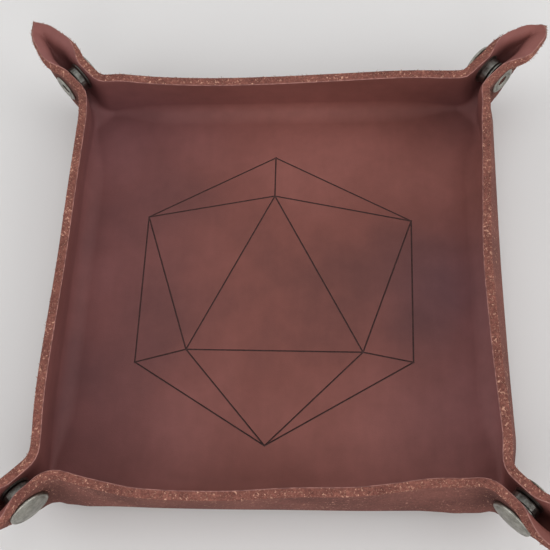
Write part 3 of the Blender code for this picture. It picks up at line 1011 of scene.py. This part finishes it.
def figure_lines():
    """Corner pairs of the engraved die."""
    first = Vector((0, FIGURE_RADIUS))
    rim = [Matrix.Rotation(-math.radians(60.0 * corner), 2) @ first for corner in range(6)]
    rim = [corner + Vector(nudge) * MM for corner, nudge in zip(rim, RIM_NUDGES)]
    foot = Vector(FIGURE_FOOT_SHARES) * FIGURE_RADIUS
    face = [first * FIGURE_TOP_SHARE, foot, Vector((-foot.x, foot.y))]
    face = [corner + Vector(nudge) * MM for corner, nudge in zip(face, FACE_NUDGES)]
    lines = [(rim[corner], rim[(corner + 1) % 6]) for corner in range(6)]
    for index, corner in enumerate((0, 2, 4)):
        lines.append((face[index], face[(index + 1) % 3]))
        for neighbour in (corner - 1, corner, corner + 1):
            lines.append((face[index], rim[neighbour % 6]))
    return lines


def groove_cutter():
    """A tapering bar along each engraved line."""
    right = [(GROOVE_FOOT_WIDTH, -GROOVE_DEPTH), (GROOVE_WIDTH, 0.0), (GROOVE_WIDTH, MM)]
    section = [(-width, height) for width, height in reversed(right)] + right
    bm = bmesh.new()
    for start, end in figure_lines():
        run = (end - start).normalized()
        side = Vector((-run.y, run.x))
        rings = []
        for spot in (start - run * GROOVE_WIDTH / 2, end + run * GROOVE_WIDTH / 2):
            ring = []
            for push, height in section:
                place = spot + side * push / 2 + Vector(FIGURE_PLACE)
                ring.append(bm.verts.new((place.x, place.y, LEATHER + height)))
            rings.append(ring)
        for k in range(len(section)):
            following = (k + 1) % len(section)
            bm.faces.new([rings[0][k], rings[0][following], rings[1][following], rings[1][k]])
        for ring in rings:
            bm.faces.new(ring)
    bmesh.ops.recalc_face_normals(bm, faces=bm.faces)
    return add_object("groove_cutter", mesh_from(bm, "groove_cutter", CHAR))


def apply_modifiers(obj):
    evaluated = obj.evaluated_get(bpy.context.evaluated_depsgraph_get())
    mesh = bpy.data.meshes.new_from_object(evaluated)
    obj.modifiers.clear()
    obj.data = mesh


def floor_piece(edge_points):
    """Flat floor with the engraved grooves."""
    bm = bmesh.new()
    top, bottom = ([bm.verts.new((x, y, z)) for x, y in edge_points] for z in (LEATHER, 0))
    bm.faces.new(top)
    bm.faces.new(bottom[::-1]).material_index = FLESH_SLOT
    for k in range(len(top)):
        following = (k + 1) % len(top)
        side = bm.faces.new([top[following], top[k], bottom[k], bottom[following]])
        side.material_index = FLESH_SLOT
    bmesh.ops.recalc_face_normals(bm, faces=bm.faces)
    mesh = mesh_from(bm, "leather_floor_panel", GRAIN, FLESH, CHAR)
    obj = add_object("leather_floor_panel", mesh)
    cutter = groove_cutter()
    modifier = obj.modifiers.new("grooves", "BOOLEAN")
    modifier.operation = "DIFFERENCE"
    modifier.solver = "EXACT"
    modifier.use_self = True
    modifier.material_mode = "TRANSFER"
    modifier.object = cutter
    apply_modifiers(obj)
    bpy.data.objects.remove(cutter)
    add_attribute(obj.data, [(v.co.x, v.co.y, v.co.z - LEATHER) for v in obj.data.vertices])
    return obj


def dress(obj, *nodes, slot="leather"):
    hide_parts(*nodes)


def folded_place(spot):
    """Where a point of the flat sheet lies in the folded tray."""
    return sheet_middle(np.array([spot.x]), np.array([spot.y]))[0]


def make_leather():
    bm = flat_sheet()
    bm.verts.ensure_lookup_table()
    bm.verts.index_update()
    coords = np.array([(v.co.x, v.co.y) for v in bm.verts])
    groups = {}
    for face in bm.faces:
        name = piece_name(face.calc_center_median())
        groups.setdefault(name, []).append([v.index for v in face.verts])
    bm.free()
    middle = sheet_middle(coords[:, 0], coords[:, 1])
    normal = sheet_normal(coords[:, 0], coords[:, 1])
    ahead = rim_direction(coords, middle)
    border = {i for pair in border_edges(groups.pop("floor_panel")) for i in pair}
    ordered = sorted(border, key=lambda i: math.atan2(coords[i][1], coords[i][0]))
    dress(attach(floor_piece([tuple(middle[i][:2]) for i in ordered]), "floor"), "floor_panel")
    for name, faces in groups.items():
        piece = Piece(name, faces, coords, middle, normal, ahead).build()
        if name.endswith("_wall"):
            _, outward = wall_axes(name.removesuffix("_wall"))
            start = folded_place(outward * FLOOR_EDGE)
            end = folded_place(outward * (2 * FLOOR_HALF - FLOOR_EDGE))
            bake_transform(piece)
        else:
            corner, wall = name.split("_ear_")
            foot, across, up = crease_axes(wall, 1 if WALLS[wall][1] == corner else -1)
            half_way = foot + up * WALL_DEPTH / 2
            start = folded_place(half_way - across * CREASE_START_FOOT)
            end = folded_place(half_way + across * CREASE_START_RIM)
            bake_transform(piece)
        dress(piece, name)


# Snaps

def shade(mesh, sharp_deg):
    mesh.shade_smooth()
    mesh.set_sharp_from_angle(angle=math.radians(sharp_deg))


def turned(name, profile, bore=0.0):
    """Spin a closed profile of (radius, height) points about Z; the bore is tarnished."""
    bm = bmesh.new()
    verts = [bm.verts.new((radius, 0, height)) for radius, height in profile]
    pairs = list(zip(verts, verts[1:]))
    if profile[0][0] > 0:
        pairs.append((verts[-1], verts[0]))
    edges = [bm.edges.new(pair) for pair in pairs]
    bmesh.ops.spin(bm, geom=verts + edges, cent=(0, 0, 0), axis=(0, 0, 1),
                   angle=2 * math.pi, steps=TURNED_STEPS, use_merge=True)
    bmesh.ops.remove_doubles(bm, verts=bm.verts, dist=FLAT_TOLERANCE)
    bmesh.ops.recalc_face_normals(bm, faces=bm.faces)
    mesh = mesh_from(bm, name, PEWTER, TARNISH)
    for polygon in mesh.polygons:
        inside = polygon.center.xy.length < bore + TARNISH_BAND
        polygon.material_index = 1 if inside and polygon.center.z < TARNISH_TOP else 0
    shade(mesh, TURNED_SHARP_DEG)
    return add_object(name, mesh)


def arc(centre, radius, start_deg, end_deg, steps):
    """Points of an arc in the (radius, height) plane."""
    points = []
    for step in range(steps + 1):
        turn = math.radians(start_deg + (end_deg - start_deg) * step / steps)
        points.append((centre[0] + radius * math.cos(turn), centre[1] + radius * math.sin(turn)))
    return points


def ear_matrix(wall, side):
    """The ear's frame: origin on the flesh side of its crease, +Z towards the grain."""
    turn = math.radians(WALLS[wall][0])
    _, outward = wall_axes(wall)
    hinge = Matrix.Translation((outward.x * FLOOR_HALF, outward.y * FLOOR_HALF, LEATHER))
    hinge = hinge @ Matrix.Rotation(turn, 4, "Z") @ Matrix.Rotation(WALL_FOLD, 4, "X")
    crease = Matrix.Translation((side * CREASE_FOOT, 0, -LEATHER))
    crease = crease @ Matrix.Rotation(side * SLANT, 4, "Z")
    return hinge @ crease @ Matrix.Rotation(side * EAR_FOLD, 4, "Y")


def seat(obj, cad_name, wall, side):
    """Put a turned piece where the CAD's one is, outside on the flesh side of its ear."""
    ear = ear_matrix(wall, side)
    inverse = ear.inverted()
    spots = [inverse @ v.co for v in frame["nodes"][cad_name].data.vertices]
    middle = [(min(s[k] for s in spots) + max(s[k] for s in spots)) / 2 for k in (0, 1)]
    obj.matrix_world = ear @ (Matrix.Translation((*middle, 0.0)) @ Matrix.Rotation(math.pi, 4, "X"))


def cap_profile():
    """Domed face, a shallow groove, and a rolled edge."""
    dome = []
    for step in range(CAP_FACE_STEPS + 1):
        share = step / CAP_FACE_STEPS
        dome.append((CAP_FACE_RADIUS * share, CAP_HEIGHT - CAP_CROWN * share ** 2))
    groove = [(CAP_GROOVE_RADIUS, CAP_GROOVE_HEIGHT)]
    roll = arc((CAP_RADIUS - CAP_BEAD, CAP_BEAD_HEIGHT), CAP_BEAD, 125.0, -50.0, 10)
    foot = [(CAP_RADIUS - 2 * CAP_BEAD, CAP_FOOT_HEIGHT), (0, CAP_FOOT_HEIGHT)]
    return dome + groove + roll + foot


def eyelet_profile():
    """Rounded flange with a ring groove and an open bore."""
    half = EYELET_FLANGE / 2
    roll = arc((EYELET_RADIUS - half, half), half, -90.0, 90.0, 8)
    groove = arc((EYELET_GROOVE, EYELET_FLANGE), EYELET_GROOVE_RADIUS, 0.0, -180.0, 8)
    throat = arc((EYELET_BORE + EYELET_FLANGE, 0), EYELET_FLANGE, 90.0, 180.0, 6)
    outer = EYELET_BORE + EYELET_WALL
    return roll + groove + throat + [(EYELET_BORE, -EYELET_REACH), (outer, -EYELET_REACH), (outer, 0)]


def make_snaps():
    for wall in WALLS:
        for side, corner in zip((1, -1), WALLS[wall][1:]):
            ear = f"{corner}_ear_{wall}"
            if wall in ("front", "back"):
                kind, made = "cap", turned("pewter_cap_" + corner, cap_profile())
            else:
                kind, made = "eyelet", turned("pewter_eyelet_" + corner, eyelet_profile(), EYELET_BORE)
            cad = f"snap_{kind}_{corner}"
            seat(made, cad, wall, side)
            dress(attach(made, ear), cad, slot="snap_" + kind)
    for name, obj in frame["nodes"].items():
        if name.startswith(("snap_socket", "snap_spring", "snap_stud")):
            obj.data.materials.clear()
            obj.data.materials.append(DARK_PEWTER)
            shade(obj.data, PACKED_SHARP_DEG)


# Studio

def make_studio():
    mesh = bpy.data.meshes.new("ground")
    corners = [(x * GROUND_REACH, y * GROUND_REACH, 0) for x, y in ((-1, -1), (1, -1), (1, 1), (-1, 1))]
    mesh.from_pydata(corners, [], [(0, 1, 2, 3)])
    ground = add_object("ground", mesh)
    material, _, shader = new_material("ground")
    shader.inputs["Base Color"].default_value = GROUND_COLOUR
    shader.inputs["Roughness"].default_value = 0.9
    mesh.materials.append(material)
    world = bpy.data.worlds.new("studio")
    bpy.context.scene.world = world
    world.use_nodes = True
    tree = world.node_tree
    split = node(tree, "ShaderNodeSeparateXYZ")
    direction = node(tree, "ShaderNodeTexCoord").outputs["Generated"]
    tree.links.new(direction, split.inputs["Vector"])
    sky = ramp(tree, split.outputs["Z"], [(rise, (light,) * 3) for rise, light in WORLD_LIGHT])
    tree.links.new(sky, tree.nodes["Background"].inputs["Color"])
    for name, place, size, power in LAMPS:
        light = bpy.data.lights.new(name, "AREA")
        light.shape = "DISK"
        light.size = size
        light.energy = power
        lamp = add_object(name, light)
        lamp.location = place
        lamp.rotation_euler = (-Vector(place)).to_track_quat("-Z", "Y").to_euler()
    bpy.context.scene.view_settings.view_transform = "Standard"


def make_camera():
    data = bpy.data.cameras.new("camera")
    data.sensor_width = CAMERA_SENSOR
    data.lens = CAMERA_LENS
    data.clip_start = CAMERA_NEAR
    camera = add_object("camera", data)
    camera.location = CAMERA_PLACE
    gaze = Vector(CAMERA_AIM) - Vector(CAMERA_PLACE)
    roll = Quaternion((0, 0, 1), math.radians(CAMERA_ROLL_DEG))
    camera.rotation_mode = "QUATERNION"
    camera.rotation_quaternion = gaze.to_track_quat("-Z", "Y") @ roll
    bpy.context.scene.camera = camera


make_leather()
make_snaps()
make_studio()
make_camera()
